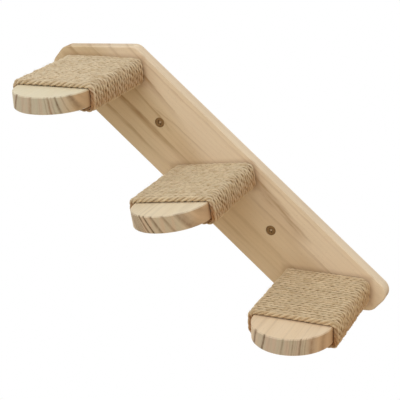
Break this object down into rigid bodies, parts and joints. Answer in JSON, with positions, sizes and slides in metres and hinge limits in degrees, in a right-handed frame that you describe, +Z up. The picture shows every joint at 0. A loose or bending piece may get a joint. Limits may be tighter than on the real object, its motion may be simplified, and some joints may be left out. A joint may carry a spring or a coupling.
{
  "type": "cat ladder",
  "caption": "Wall-mounted cat ladder: a sloping pine board with level round-nosed steps, each wound with jute rope for the claws to grip.",
  "frame": {"origin": "centre of the board's back face, which lies flat on the wall", "axes": "X along the wall, with the ladder's high end at -X; +Y into the wall, so the steps reach towards -Y; +Z up"},
  "size_m": [0.3726, 0.2102, 0.286],
  "materials": {
    "pine": "bare, sanded",
    "jute": "twisted rope, matte",
    "zinc": "zinc plated",
    "bronze": "dark bronze, satin"
  },
  "bodies": {
    "root": {"back_board": "pine", "step_board_upper": "pine", "step_board_middle": "pine", "step_board_lower": "pine", "rope_wrap_upper": "jute", "rope_wrap_middle": "jute", "rope_wrap_lower": "jute", "step_screw_upper_left": "zinc", "step_screw_upper_right": "zinc", "step_screw_middle_left": "zinc", "step_screw_middle_right": "zinc", "step_screw_lower_left": "zinc", "step_screw_lower_right": "zinc", "wall_screw_upper": "bronze", "wall_screw_lower": "bronze"}
  },
  "joints": []
}
